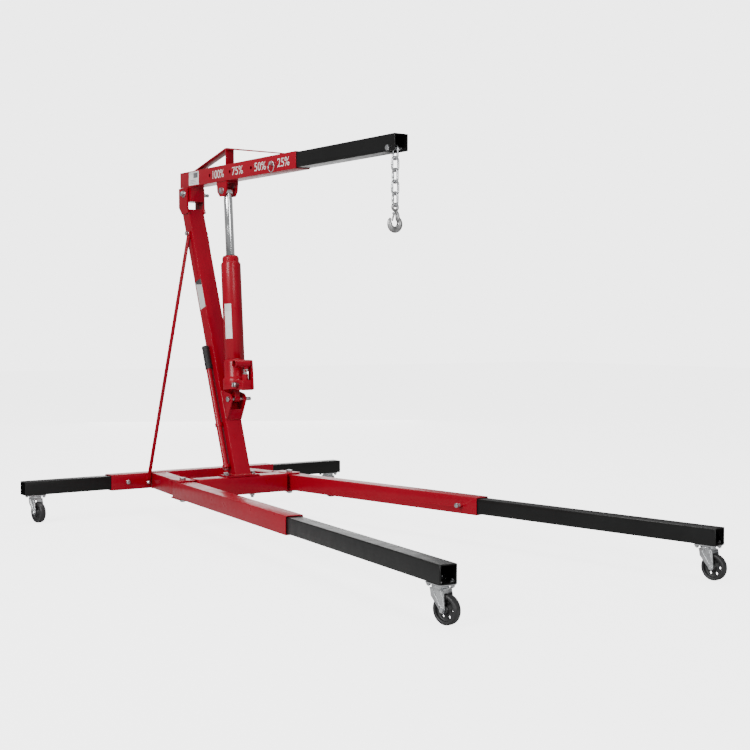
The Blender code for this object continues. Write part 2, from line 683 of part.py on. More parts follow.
def build_boom():
    paint = (RED, 0.0, 0.32)
    zinc = (ZINC, 1.0, 0.35)
    pivot = (BOOM_PIVOT[0], 0, BOOM_PIVOT[1])
    half = OUTER_TUBE / 2
    boom = tube_bar(
        "boom_outer", (BOOM_REAR, 0, BOOM_Z), (BOOM_MOUTH, 0, BOOM_Z), OUTER_TUBE, paint, pivot, BOOM_WALL
    )
    join(boom, box(-455, -378, 1 - half, half - 1, 1427, 1496))
    cut(boom, rod((pivot[0], -60, pivot[2]), (pivot[0], 60, pivot[2]), PIVOT_BOLT / 2 + 0.5, 20))
    for x in PIN_HOLES:
        cut(boom, rod((x, -60, BOOM_Z), (x, 60, BOOM_Z), PIN_HOLE / 2, 16))
    top = BOOM_Z + half + GAP
    strap = (
        (TRUSS_REAR, top), (TRUSS_REAR + 22, top), (TRUSS_PEAK, TRUSS_TOP - STRAP),
        (TRUSS_FRONT - 30, top), (TRUSS_FRONT, top),
        (TRUSS_PEAK + 8, TRUSS_TOP), (TRUSS_PEAK - 8, TRUSS_TOP),
    )
    truss = new_object(
        "boom_truss", prism(strap, side_on(), -STRAP_WIDTH / 2, STRAP_WIDTH / 2), paint, pivot
    )
    join(truss, box(TRUSS_PEAK - 3, TRUSS_PEAK + 3, -20.5, 20.5, top, TRUSS_TOP - 3))
    inner = tube_bar(
        "boom_inner", (BOOM_INNER_REAR, 0, BOOM_Z), (BOOM_TIP, 0, BOOM_Z), BOOM_INNER,
        (BLACK, 0.0, 0.38), (BOOM_MOUTH, 0, BOOM_Z),
    )
    cut(
        inner,
        rod((CHAIN_BOLT_X, -60, CHAIN_BOLT_Z), (CHAIN_BOLT_X, 60, CHAIN_BOLT_Z), BOLT_HOLE / 2 + 0.5, 16),
        box(CHAIN_BOLT_X - 27, BOOM_TIP + 5, -25, 25, BOOM_Z - 40, BOOM_Z - 20),
    )
    x = PIN_HOLES[-1]
    cut(inner, rod((x, -60, BOOM_Z), (x, 60, BOOM_Z), PIN_HOLE / 2, 16))
    bolt(
        "chain_bolt", (CHAIN_BOLT_X, -BOOM_INNER / 2 - GAP, CHAIN_BOLT_Z),
        (CHAIN_BOLT_X, BOOM_INNER / 2 + 12.5, CHAIN_BOLT_Z), BOLT + 1, zinc,
        (CHAIN_BOLT_X, 0, CHAIN_BOLT_Z), head=20.0,
    )
    pin = new_object("lock_pin", turned(
        ((0, 0), (PIN / 2, 0), (PIN / 2, 3.4), (10, 3.4), (10, 8), (7, 9), (7, 14), (0, 14)),
        (x, -BOOM_INNER / 2 - GAP, BOOM_Z), (x, -half - 20, BOOM_Z), 20,
    ), zinc, (x, 0, BOOM_Z))
    smooth(pin)


def link_path(top, plane):
    """The middle line of one chain link that hangs from top, in the XZ or the YZ plane."""
    radius = LINK_WIDTH / 2
    straight = LINK_LENGTH - 2 * radius
    upper = arc((0, -radius), radius, 0, 180, 8)
    lower = arc((0, -radius - straight), radius, 180, 360, 8)
    return [
        (top[0] + a * (plane == "xz"), top[1] + a * (plane == "yz"), top[2] + b) for a, b in upper + lower
    ]


def build_chain():
    zinc = (ZINC, 1.0, 0.35)
    top = CHAIN_BOLT_Z + (BOLT + 1) / 2 + GAP + LINK_WIRE
    for number in range(LINK_COUNT):
        plane = "xz" if number % 2 == 0 else "yz"
        center = (CHAIN_BOLT_X, 0, top)
        pivot = (CHAIN_BOLT_X, 0, CHAIN_BOLT_Z if number == 0 else top - 2 * LINK_WIRE - GAP)
        link = new_object(
            f"chain_link_{number + 1}", pipe(link_path(center, plane), LINK_WIRE, cyclic=True, resolution=1),
            zinc, pivot,
        )
        smooth(link, 60)
        top -= LINK_LENGTH - 2 * LINK_WIRE - GAP
    build_hook(top + HOOK_WIRE - LINK_WIRE)


def build_hook(top):
    """A forged hook in the YZ plane: an eye, a thick crescent open on the right side, and a latch."""
    steel = (ZINC, 1.0, 0.4)
    eye_radius = 12.0
    x = CHAIN_BOLT_X
    eye_z = top - eye_radius
    pivot = (x, 0, top - HOOK_WIRE - LINK_WIRE - GAP)
    eye = [(x, eye_radius * math.cos(t), eye_z + eye_radius * math.sin(t))
           for t in [2 * math.pi * step / 20 for step in range(20)]]
    hook = new_object("hook", pipe(eye, HOOK_WIRE, cyclic=True, resolution=1), steel, pivot)
    bowl_z = eye_z - 60
    sweep = [(x, 2, eye_z - 13), (x, 10, eye_z - 24)]
    sweep += [(x, a, b) for a, b in arc((-2, bowl_z), 23, 50, -180, 18)]
    sweep += [(x, -24, bowl_z + 10), (x, -20, bowl_z + 19)]
    thick = [0.75, 0.85] + [1.0 + 0.35 * math.sin(math.pi * step / 18) for step in range(19)] + [0.75, 0.4]
    join(hook, pipe(sweep, 9.0, resolution=2, radii=thick))
    smooth(hook, 60)
    latch = prism(
        ((-1, eye_z - 24), (-6, eye_z - 20.5), (-15.5, bowl_z + 12), (-12, bowl_z + 7)),
        axes((x, 0, 0), (0, 1, 0), (0, 0, 1)), -3, 3,
    )
    new_object("hook_latch", latch, (DARK_STEEL, 1.0, 0.45), (x, -6, eye_z - 22))


clear_scene()
HOIST = bpy.data.objects.new("hoist", None)
HOIST.location = (-MIDDLE_X * MM, 0, 0)
bpy.context.scene.collection.objects.link(HOIST)
build_base()
build_casters()
build_mast()
build_jack()
build_handle()
build_boom()
build_chain()
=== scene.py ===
"""The looks of the engine hoist: materials, rounded edges, welds, fasteners, chain, hook and casters.

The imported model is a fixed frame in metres. Most lengths here are millimetres counted from the foot of the
mast, which at() turns into the frame's metres.
"""

import json
import math

import bmesh
import bpy
from mathutils import Matrix, Vector


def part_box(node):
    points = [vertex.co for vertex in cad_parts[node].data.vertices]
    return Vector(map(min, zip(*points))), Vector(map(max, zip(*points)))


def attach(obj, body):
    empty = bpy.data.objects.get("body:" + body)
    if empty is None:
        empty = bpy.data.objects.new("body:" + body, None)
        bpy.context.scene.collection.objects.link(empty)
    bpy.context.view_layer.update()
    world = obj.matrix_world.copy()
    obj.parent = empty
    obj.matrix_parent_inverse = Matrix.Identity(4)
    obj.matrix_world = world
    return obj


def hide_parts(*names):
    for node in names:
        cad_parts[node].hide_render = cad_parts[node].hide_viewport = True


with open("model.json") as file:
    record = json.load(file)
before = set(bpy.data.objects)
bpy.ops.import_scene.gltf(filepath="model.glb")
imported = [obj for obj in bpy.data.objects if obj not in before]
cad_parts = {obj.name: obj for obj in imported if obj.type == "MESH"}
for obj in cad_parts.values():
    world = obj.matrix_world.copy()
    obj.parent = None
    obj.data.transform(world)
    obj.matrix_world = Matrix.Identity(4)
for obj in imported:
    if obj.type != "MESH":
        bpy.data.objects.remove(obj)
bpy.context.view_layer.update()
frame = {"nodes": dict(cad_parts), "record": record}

MM = 0.001
NODES = frame["nodes"]
RECORD = frame["record"]
JOINTS = {joint["name"]: joint for joint in RECORD["behaviour"]["joints"]}
BODY_OF = {node: body for body, nodes in RECORD["behaviour"]["bodies"].items() for node in nodes}
SLOT_OF = {entry["node"]: entry["material_slot"] for entry in RECORD["subparts"]}

PIVOT_X = -20.0
FOOT_X = JOINTS["left_leg_swing"]["pos_m"][0] - PIVOT_X * MM
LEAN = math.radians(19.8)
SPLAY = math.radians(8.2)
MAST_BOTTOM = 205.5
BEAM_Z = 150.0
UP = Vector((0, 0, 1))
FORWARD = Vector((1, 0, 0))
LEFT = Vector((0, 1, 0))


def at(x, y, z):
    """Millimetres from the foot of the mast to metres in the frame."""
    return Vector((FOOT_X + x * MM, y * MM, z * MM))


def joint_at(name):
    return Vector(JOINTS[name]["pos_m"])


def mast_point(height, forward=0.0, side=0.0):
    along = (height - MAST_BOTTOM) / math.cos(LEAN)
    x = -along * math.sin(LEAN) + forward * math.cos(LEAN)
    z = MAST_BOTTOM + along * math.cos(LEAN) + forward * math.sin(LEAN)
    return at(x, side, z)


# ---------------------------------------------------------------- materials


class Nodes:
    """A short way to write a node tree."""

    def __init__(self, name):
        self.material = bpy.data.materials.new(name)
        self.material.use_nodes = True
        self.tree = self.material.node_tree
        self.shader = self.tree.nodes["Principled BSDF"]
        self.place = self.add("ShaderNodeTexCoord").outputs["Object"]

    def add(self, kind, **values):
        node = self.tree.nodes.new(kind)
        for key, value in values.items():
            setattr(node, key, value)
        return node

    def link(self, source, target):
        self.tree.links.new(source, target)

    def noise(self, scale, detail=3.0, roughness=0.55):
        node = self.add("ShaderNodeTexNoise")
        node.inputs["Scale"].default_value = scale
        node.inputs["Detail"].default_value = detail
        node.inputs["Roughness"].default_value = roughness
        self.link(self.place, node.inputs["Vector"])
        return node.outputs["Fac"]

    def span(self, value, low, high, to_low=0.0, to_high=1.0):
        node = self.add("ShaderNodeMapRange")
        node.inputs["From Min"].default_value = low
        node.inputs["From Max"].default_value = high
        node.inputs["To Min"].default_value = to_low
        node.inputs["To Max"].default_value = to_high
        self.link(value, node.inputs["Value"])
        return node.outputs["Result"]

    def mix(self, factor, first, second):
        node = self.add("ShaderNodeMix", data_type="RGBA")
        self.link(factor, node.inputs[0])
        for value, socket in ((first, node.inputs[6]), (second, node.inputs[7])):
            if isinstance(value, tuple):
                socket.default_value = value
            else:
                self.link(value, socket)
        return node.outputs[2]

    def multiply(self, first, second):
        node = self.add("ShaderNodeMath", operation="MULTIPLY")
        self.link(first, node.inputs[0])
        if isinstance(second, float):
            node.inputs[1].default_value = second
        else:
            self.link(second, node.inputs[1])
        return node.outputs[0]

    def bump(self, height, distance, strength=1.0, under=None):
        node = self.add("ShaderNodeBump")
        node.inputs["Strength"].default_value = strength
        node.inputs["Distance"].default_value = distance
        self.link(height, node.inputs["Height"])
        if under:
            self.link(under, node.inputs["Normal"])
        return node.outputs["Normal"]

    def set(self, **values):
        for key, value in values.items():
            socket = self.shader.inputs[key.replace("_", " ")]
            if isinstance(value, (float, int, tuple)):
                socket.default_value = value
            else:
                self.link(value, socket)


def enamel(name, color, deep, chip, roughness, coat):
    """Sprayed enamel: slight colour drift, orange peel and fine dust specks."""
    nodes = Nodes(name)
    drift = nodes.mix(nodes.span(nodes.noise(3.5, 2.0), 0.35, 0.65), color, deep)
    speck = nodes.span(nodes.noise(900.0, 2.0), 0.74, 0.80, 0.0, 0.15)
    specked = nodes.mix(speck, drift, chip)
    rough = nodes.span(nodes.noise(30.0, 4.0), 0.3, 0.7, roughness - 0.05, roughness + 0.07)
    peel = nodes.bump(nodes.noise(420.0, 2.0), 0.00012, 0.35)
    handled = nodes.bump(nodes.noise(14.0, 2.0), 0.0012, 0.10, peel)
    nodes.set(
        Base_Color=specked, Roughness=rough, Normal=handled, Coat_Weight=coat, Coat_Roughness=0.10,
        Specular_IOR_Level=0.20,
    )
    return nodes.material


def plated(name, color, dark, roughness, grain=260.0):
    """Zinc or nickel plate: cloudy brightness, faint grain and darker pits."""
    nodes = Nodes(name)
    cloud = nodes.mix(nodes.span(nodes.noise(38.0, 4.0), 0.35, 0.65), color, dark)
    rough = nodes.span(nodes.noise(grain, 3.0), 0.3, 0.7, roughness - 0.07, roughness + 0.12)
    pits = nodes.bump(nodes.noise(grain * 4, 2.0), 0.00008, 0.5)
    nodes.set(Base_Color=cloud, Metallic=1.0, Roughness=rough, Normal=pits)
    return nodes.material


def chrome(name):
    """Hard chrome with fine grinding rings and a faint oil film."""
    nodes = Nodes(name)
    rings = nodes.add("ShaderNodeTexWave", bands_direction="Z")
    rings.inputs["Scale"].default_value = 900.0
    rings.inputs["Distortion"].default_value = 1.2
    nodes.link(nodes.place, rings.inputs["Vector"])
    film = nodes.span(nodes.noise(25.0, 4.0), 0.35, 0.65, 0.07, 0.20)
    nodes.set(
        Base_Color=(0.78, 0.79, 0.80, 1), Metallic=1.0, Roughness=film,
        Normal=nodes.bump(rings.outputs["Fac"], 0.00002, 0.4),
    )
    return nodes.material


def moulded(name, color, pale, roughness, grain):
    """Moulded rubber or nylon with a fine texture and light scuffs."""
    nodes = Nodes(name)
    scuffs = nodes.span(nodes.noise(45.0, 6.0, 0.7), 0.55, 0.72, 0.0, 0.45)
    rough = nodes.span(nodes.noise(90.0, 3.0), 0.3, 0.7, roughness - 0.08, roughness + 0.10)
    nodes.set(
        Base_Color=nodes.mix(scuffs, color, pale), Roughness=rough,
        Normal=nodes.bump(nodes.noise(grain, 2.0), 0.0001, 0.6),
    )
    return nodes.material


def weld_paint(name, color, deep):
    """Paint over a weld bead, a little rougher and darker than on the flat steel."""
    nodes = Nodes(name)
    shade = nodes.mix(nodes.span(nodes.noise(160.0, 3.0), 0.35, 0.65), color, deep)
    nodes.set(
        Base_Color=shade, Roughness=0.38, Coat_Weight=0.2,
        Normal=nodes.bump(nodes.noise(500.0, 3.0), 0.0003, 0.6),
    )
    return nodes.material


def label_print(name, ground, band_color, bands):
    """A blank label: plain ground with a coloured band at one end and a paper-like finish."""
    nodes = Nodes(name)
    split = nodes.add("ShaderNodeSeparateXYZ")
    generated = nodes.add("ShaderNodeTexCoord").outputs["Generated"]
    nodes.link(generated, split.inputs[0])
    band = nodes.span(split.outputs["Z"], bands - 0.01, bands + 0.01)
    color = nodes.mix(band, ground, band_color)
    grime = nodes.mix(nodes.span(nodes.noise(70.0, 5.0), 0.45, 0.75, 0.0, 0.25), color, (0.35, 0.30, 0.28, 1))
    nodes.set(Base_Color=grime, Roughness=0.45, Normal=nodes.bump(nodes.noise(700.0), 0.00004, 0.5))
    return nodes.material


RED = (0.31, 0.0, 0.012, 1)
RED_DEEP = (0.27, 0.0, 0.010, 1)
MATERIALS = {
    "red_paint": enamel("red_enamel", RED, RED_DEEP, (0.55, 0.12, 0.12, 1), 0.32, 0.12),
    "black_paint": enamel(
        "black_enamel", (0.008, 0.008, 0.008, 1), (0.005, 0.005, 0.005, 1), (0.14, 0.13, 0.12, 1), 0.36, 0.08
    ),
    "zinc": plated("zinc_plate", (0.66, 0.67, 0.68, 1), (0.44, 0.45, 0.46, 1), 0.30),
    "chrome": chrome("hard_chrome"),
    "forged_steel": plated("plated_forging", (0.52, 0.52, 0.52, 1), (0.26, 0.26, 0.26, 1), 0.38, 120.0),
    "grip_rubber": moulded(
        "ribbed_rubber", (0.010, 0.010, 0.011, 1), (0.05, 0.05, 0.05, 1), 0.62, 1500.0
    ),
    "wheel_plastic": moulded(
        "wheel_nylon", (0.014, 0.014, 0.015, 1), (0.07, 0.068, 0.065, 1), 0.48, 1100.0
    ),
}
WELD = weld_paint("painted_weld", (0.36, 0.005, 0.014, 1), (0.20, 0.003, 0.008, 1))
PALE_LABEL = label_print("pale_label", (0.84, 0.84, 0.82, 1), (0.68, 0.68, 0.67, 1), 0.78)
PLATE_LABEL = label_print("blank_data_plate", (0.62, 0.62, 0.60, 1), (0.035, 0.035, 0.038, 1), 0.80)
MARK_GREY = label_print("mark_grey", (0.16, 0.16, 0.17, 1), (0.12, 0.12, 0.13, 1), 0.5)
NUMBER_INK = label_print("number_ink", (0.75, 0.75, 0.73, 1), (0.75, 0.75, 0.73, 1), 0.99)


# ---------------------------------------------------------------- piece makers


def finish_piece(obj, body, slot, material=None, node=None, sharp=40):
    """Puts a mesh piece in the scene with its material and its body, and hides the CAD node it stands for."""
    if obj.name not in bpy.context.scene.collection.all_objects:
        bpy.context.scene.collection.objects.link(obj)
    obj.data.materials.clear()
    obj.data.materials.append(material or MATERIALS[slot])
    obj.data.shade_smooth()
    obj.data.set_sharp_from_angle(angle=math.radians(sharp))
    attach(obj, body)
    if node:
        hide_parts(node)
    return obj


def mesh_piece(name, bm, body, slot, material=None, node=None, sharp=40):
    bmesh.ops.recalc_face_normals(bm, faces=bm.faces)
    mesh = bpy.data.meshes.new(name)
    bm.to_mesh(mesh)
    bm.free()
    return finish_piece(bpy.data.objects.new(name, mesh), body, slot, material, node, sharp)


def sharp_edges(bm, longest_first):
    """Convex edges that turn by more than 25 degrees and are longer than the given length."""
    return [
        edge for edge in bm.edges
        if len(edge.link_faces) == 2 and edge.is_convex
        and edge.calc_length() > longest_first and edge.calc_face_angle(0.0) > math.radians(25)
    ]


def clean_copy(node):
    """The CAD node's shape with its flat faces whole again."""
    bm = bmesh.new()
    bm.from_mesh(NODES[node].data)
    bmesh.ops.remove_doubles(bm, verts=bm.verts, dist=0.00001)
    bmesh.ops.dissolve_limit(
        bm, angle_limit=math.radians(0.3), verts=bm.verts, edges=bm.edges, use_dissolve_boundaries=False
    )
    bmesh.ops.recalc_face_normals(bm, faces=bm.faces)
    return bm


def bevel(bm, edges, width, segments):
    if edges:
        bmesh.ops.bevel(
            bm, geom=edges, offset=width * MM, offset_type="OFFSET", segments=segments, profile=0.5,
            affect="EDGES", clamp_overlap=True,
        )


def refined(node, corner=0.0, rim=0.5, least=60.0, sharp=40):
    """Replaces a CAD node by the same shape with rolled corners along it and softened rims."""
    bm = clean_copy(node)
    if corner:
        bevel(bm, sharp_edges(bm, least * MM), corner, 4)
    if rim:
        bevel(bm, sharp_edges(bm, 0.0045), rim, 2)
    return mesh_piece(node + "_body", bm, BODY_OF[node], SLOT_OF[node], node=node, sharp=sharp)


def frame_along(start, end, up=(0, 0, 1)):
    third = (Vector(end) - Vector(start)).normalized()
    first = Vector(up).cross(third)
    if first.length < 1e-4:
        first = Vector((1, 0, 0)).cross(third)
    first.normalize()
    second = third.cross(first)
    return Matrix.Translation(start) @ Matrix((first, second, third)).transposed().to_4x4()


def turned(profile, start, end, sides=48):
    """A solid of revolution; the profile holds (radius, distance from start) pairs in millimetres."""
    bm = bmesh.new()
    points = [bm.verts.new((radius * MM, 0, along * MM)) for radius, along in profile]
    edges = [bm.edges.new(pair) for pair in zip(points, points[1:])]
    bmesh.ops.spin(
        bm, geom=points + edges, cent=(0, 0, 0), axis=(0, 0, 1), angle=2 * math.pi, steps=sides
    )
    bmesh.ops.remove_doubles(bm, verts=bm.verts, dist=0.000005)
    bmesh.ops.transform(bm, matrix=frame_along(start, end), verts=bm.verts)
    return bm


def swept(points, radii, sides=16, closed=False):
    """A round bar along a path of points in metres, with a radius in metres at each point."""
    bm = bmesh.new()
    count = len(points)
    rings = []
    normal = None
    for number, point in enumerate(points):
        before = points[number - 1] if closed or number else points[0]
        after = points[(number + 1) % count] if closed or number < count - 1 else points[-1]
        tangent = (after - before).normalized()
        if normal is None:
            normal = tangent.orthogonal().normalized()
        normal = (normal - tangent * normal.dot(tangent)).normalized()
        across = tangent.cross(normal)
        radius = radii[number] if isinstance(radii, list) else radii
        rings.append([
            bm.verts.new(point + radius * (normal * math.cos(a) + across * math.sin(a)))
            for a in [2 * math.pi * side / sides for side in range(sides)]
        ])
    shift = 0
    if closed:
        first = rings[0][0].co
        shift = min(range(sides), key=lambda side: (rings[-1][side].co - first).length)
    pairs = list(zip(rings, rings[1:]))
    for lower, upper in pairs:
        for side in range(sides):
            other = (side + 1) % sides
            bm.faces.new((lower[side], lower[other], upper[other], upper[side]))
    if closed:
        for side in range(sides):
            other = (side + 1) % sides
            bm.faces.new((
                rings[-1][(side + shift) % sides], rings[-1][(other + shift) % sides],
                rings[0][other], rings[0][side],
            ))
    else:
        bm.faces.new(rings[0][::-1])
        bm.faces.new(rings[-1])
    return bm


def block(corner_a, corner_b, width=0.6, segments=3):
    """A box between two corners in metres, with rounded edges."""
    bm = bmesh.new()
    bmesh.ops.create_cube(bm, size=1.0)
    low, high = Vector(corner_a), Vector(corner_b)
    size = high - low
    bmesh.ops.scale(bm, vec=[abs(value) for value in size], verts=bm.verts)
    bmesh.ops.translate(bm, vec=(low + high) / 2, verts=bm.verts)
    bevel(bm, list(bm.edges), width, segments)
    return bm


def merged(*meshes):
    """Several bmeshes as one; the pieces of one welded or moulded part."""
    whole = bpy.data.meshes.new("whole")
    result = bmesh.new()
    for bm in meshes:
        bm.to_mesh(whole)
        bm.free()
        result.from_mesh(whole)
    bpy.data.meshes.remove(whole)
    return result


def hexagon(start, end, across, chamfer=1.2):
    """A hex head or nut with its corners turned off at both ends."""
    length = (Vector(end) - Vector(start)).length / MM
    corner = across / 2 / math.cos(math.pi / 6)
    bm = turned(
        ((0, 0), (across / 2 - 0.4, 0), (corner, chamfer), (corner, length - chamfer),
         (across / 2 - 0.4, length), (0, length)),
        start, end, 6,
    )
    bevel(bm, sharp_edges(bm, 0.002), 0.35, 2)
    return bm


def washer(center, direction, radius, thick=2.0):
    start = Vector(center)
    end = start + Vector(direction).normalized() * thick * MM
    return turned(
        ((0, 0), (radius - 0.5, 0), (radius, 0.5), (radius, thick - 0.5), (radius - 0.5, thick), (0, thick)),
        start, end, 40,
    )


def thread(start, end, radius, pitch=1.75):
    """A threaded end: crests and roots turned at the real pitch, with a chamfered tip."""
    length = (Vector(end) - Vector(start)).length / MM
    turns = max(2, int(length / pitch))
    profile = [(0, 0)]
    for turn in range(turns):
        base = length * turn / turns
        profile += [(radius - 0.9, base), (radius, base + pitch * 0.45)]
    profile += [(radius - 1.4, length), (0, length)]
    return turned(profile, start, end, 28)


def screw(name, seat, direction, across, head, body, shank=0.0, radius=4.0):
    """A hex head on a washer at its seat, with a threaded end of the given length beyond it."""
    out = Vector(direction).normalized()
    seat = Vector(seat)
    parts = [
        washer(seat, out, across * 0.62, 1.6),
        hexagon(seat + out * 1.6 * MM, seat + out * (1.6 + head) * MM, across),
    ]
    if shank:
        top = seat + out * (1.0 + head) * MM
        parts.append(thread(top, top + out * shank * MM, radius, 1.25))
    return mesh_piece(name, merged(*parts), body, "zinc")


def weld_bead(name, points, body, radius=3.0, closed=False):
    """A rippled bead of weld along a path of points in metres."""
    path = []
    sizes = []
    spans = list(zip(points, points[1:] + points[:1] if closed else points[1:]))
    for start, end in spans:
        length = (end - start).length
        steps = max(3, int(length / 0.0016))
        for step in range(steps):
            path.append(start.lerp(end, step / steps))
            ripple = 1.0 + 0.13 * math.cos(2 * math.pi * len(path) / 3.0) + 0.07 * math.sin(len(path) * 0.37)
            sizes.append(radius * MM * ripple)
    if not closed:
        path.append(points[-1])
        sizes.append(radius * MM * 0.7)
        sizes[0] *= 0.7
    return mesh_piece(name, swept(path, sizes, 8, closed), body, "red_paint", WELD, sharp=80)


# ---------------------------------------------------------------- camera, light and floor


ROOM_LIGHT = 0.36
BACKDROP = 4.0
FLOOR_GLOW = 3.6
CAMERA_PLACE = (5068.6, -2965.3, 851.5)
CAMERA_AIM = (978.1, 0, 643.0)
CAMERA_ROLL = 0.002
LENS = 63.7
SHIFT = (0.0069, 0.0089)
LIGHTS = (
    ("key", (1.2, -5.2, 3.4), (0, 0, 0.9), 2.4, 360),
    ("front", (5.6, -0.6, 2.6), (0, 0, 0.8), 2.2, 130),
    ("rim", (-6.0, 3.2, 0.9), (0, 0, 0.3), 3.0, 60),
    ("top", (-1.0, 0.6, 5.4), (0, 0, 0.8), 3.2, 190),
)
FLOOR_SIZE = 20.0


def build_camera():
    place = at(*CAMERA_PLACE)
    forward = (at(*CAMERA_AIM) - place).normalized()
    level = forward.cross(UP).normalized()
    top = level.cross(forward)
    right = math.cos(CAMERA_ROLL) * level + math.sin(CAMERA_ROLL) * top
    up = right.cross(forward)
    data = bpy.data.cameras.new("camera")
    data.sensor_width = 36.0
    data.lens = LENS
    data.shift_x, data.shift_y = SHIFT
    data.clip_end = 60.0
    camera = bpy.data.objects.new("camera", data)
    camera.matrix_world = (
        Matrix.Translation(place) @ Matrix((right, up, -forward)).transposed().to_4x4()
    )
    bpy.context.scene.collection.objects.link(camera)
    bpy.context.scene.camera = camera


def area_light(name, place, aim, size, power):
    data = bpy.data.lights.new(name, "AREA")
    data.shape = "SQUARE"
    data.size = size
    data.energy = power
    light = bpy.data.objects.new(name, data)
    light.location = place
    light.visible_camera = False
    light.rotation_euler = (Vector(aim) - Vector(place)).to_track_quat("-Z", "Y").to_euler()
    bpy.context.scene.collection.objects.link(light)


def build_world():
    """An even room light, with a brighter backdrop behind the hoist."""
    world = bpy.data.worlds.new("studio")
    world.use_nodes = True
    tree = world.node_tree
    background = tree.nodes["Background"]
    background.inputs["Color"].default_value = (1.0, 1.0, 1.0, 1)
    seen = tree.nodes.new("ShaderNodeLightPath").outputs["Is Camera Ray"]
    strength = tree.nodes.new("ShaderNodeMapRange")
    strength.inputs["To Min"].default_value = ROOM_LIGHT
    strength.inputs["To Max"].default_value = BACKDROP
    tree.links.new(seen, strength.inputs["Value"])
    tree.links.new(strength.outputs["Result"], background.inputs["Strength"])
    bpy.context.scene.world = world


def build_studio():
    build_world()
    for light in LIGHTS:
        area_light(*light)
    floor_nodes = Nodes("studio_floor")
    pale = floor_nodes.mix(
        floor_nodes.span(floor_nodes.noise(1.3, 3.0), 0.3, 0.7), (0.50, 0.50, 0.50, 1), (0.47, 0.47, 0.47, 1)
    )
    floor_nodes.set(
        Base_Color=pale, Roughness=0.7, Specular_IOR_Level=0.1,
        Emission_Color=(1.0, 1.0, 1.0, 1),
        Emission_Strength=floor_nodes.multiply(
            floor_nodes.add("ShaderNodeLightPath").outputs["Is Camera Ray"], FLOOR_GLOW
        ),
    )
    bm = bmesh.new()
    bmesh.ops.create_grid(bm, x_segments=8, y_segments=8, size=FLOOR_SIZE)
    bmesh.ops.translate(bm, vec=(0, 0, -0.0005), verts=bm.verts)
    mesh = bpy.data.meshes.new("floor")
    bm.to_mesh(mesh)
    bm.free()
    mesh.materials.append(floor_nodes.material)
    floor = bpy.data.objects.new("floor", mesh)
    bpy.context.scene.collection.objects.link(floor)


# ---------------------------------------------------------------- the hoist


FOOT = Vector((-29.0, 532.0))
HEAD = Vector((-100.0, 1453.0))
SLANT = (HEAD - FOOT).normalized()
BOOM_BOTTOM = 1494.0
BOOM_TOP = 1564.0
BOOM_SIDE = 35.2
HOLES = ((-202.0, "100%"), (-22.0, "75%"), (158.0, "50%"), (338.0, "25%"))
MARK_GAPS = (18, 18, 27, 32)
MARK_HEIGHT = 36
MARK_Z = 1511
PIN_Z = 1529.0
BOOM_PIVOT = (-421.0, 1462.0)
CHAIN_X = 1135.0
CHAIN_BOLT_Z = 1510.0
LINK_WIRE = 4.5
LINK_RADIUS = 14.0
SOCKET = (48.0, 690.0)
PLUNGER_PIN_Z = 662.0
HANDLE_SIDE = -56.5
LEG_SCREW = 1080.0
M16 = 8.15
M12 = 6.15
JACK_SIDE = Vector((SLANT.y, 0, -SLANT.x))


def jack_point(distance, side=0.0):
    """A point on the jack's middle line, counted from its lower bolt."""
    spot = FOOT + SLANT * distance
    return at(spot.x, side, spot.y)


def refine_structure():
    """Rolled corners on tubes, and softened edges on plates, bolts and pressed parts."""
    for node in (
        "rear_beam_sleeve", "left_side_rail", "right_side_rail", "left_rear_extension",
        "right_rear_extension", "left_leg_sleeve", "right_leg_sleeve", "left_leg_extension",
        "right_leg_extension", "boom_outer", "boom_inner",
    ):
        refined(node, corner=6.0, rim=0.5)
    refined("mast_column", corner=6.0, rim=0.6, least=400.0)
    refined("front_cross_member", corner=6.0, rim=0.8)
    for side in ("left", "right"):
        refined(f"{side}_upper_leg_plate", rim=1.2)
        refined(f"{side}_lower_leg_plate", rim=1.2)
        refined(f"{side}_brace", corner=2.5, rim=0.5, least=200.0)
    for node in ("jack_lower_clevis", "boom_jack_bracket", "boom_truss", "pump_socket"):
        refined(node, rim=1.0)
    for node in (
        "left_rear_bolt", "right_rear_bolt", "left_leg_bolt", "right_leg_bolt", "left_leg_pivot_bolt",
        "right_leg_pivot_bolt", "boom_pivot_bolt", "chain_bolt", "jack_lower_bolt", "release_valve",
        "jack_upper_pin", "pump_plunger", "hook_latch",
    ):
        refined(node, rim=0.6)


def plate(outline, low, high, rim=1.0):
    """An XZ outline in millimetres between two distances from the middle plane, with soft rims."""
    bm = bmesh.new()
    face = bm.faces.new([bm.verts.new(at(x, low, z)) for x, z in outline])
    made = bmesh.ops.extrude_face_region(bm, geom=[face])
    moved = [item for item in made["geom"] if isinstance(item, bmesh.types.BMVert)]
    bmesh.ops.translate(bm, verts=moved, vec=(0, (high - low) * MM, 0))
    bmesh.ops.recalc_face_normals(bm, faces=bm.faces)
    bevel(bm, sharp_edges(bm, 0.002), rim, 2)
    return bm


def cut_away(solid, cutter):
    """The first bmesh with the second one's shapes taken out of it."""
    holders = []
    for bm in (solid, cutter):
        bmesh.ops.recalc_face_normals(bm, faces=bm.faces)
        mesh = bpy.data.meshes.new("helper")
        bm.to_mesh(mesh)
        bm.free()
        holders.append(bpy.data.objects.new("helper", mesh))
        bpy.context.scene.collection.objects.link(holders[-1])
    modifier = holders[0].modifiers.new("holes", "BOOLEAN")
    modifier.operation = "DIFFERENCE"
    modifier.object = holders[1]
    graph = bpy.context.evaluated_depsgraph_get()
    result = bmesh.new()
    result.from_object(holders[0], graph)
    for holder in holders:
        mesh = holder.data
        bpy.data.objects.remove(holder)
        bpy.data.meshes.remove(mesh)
    return result


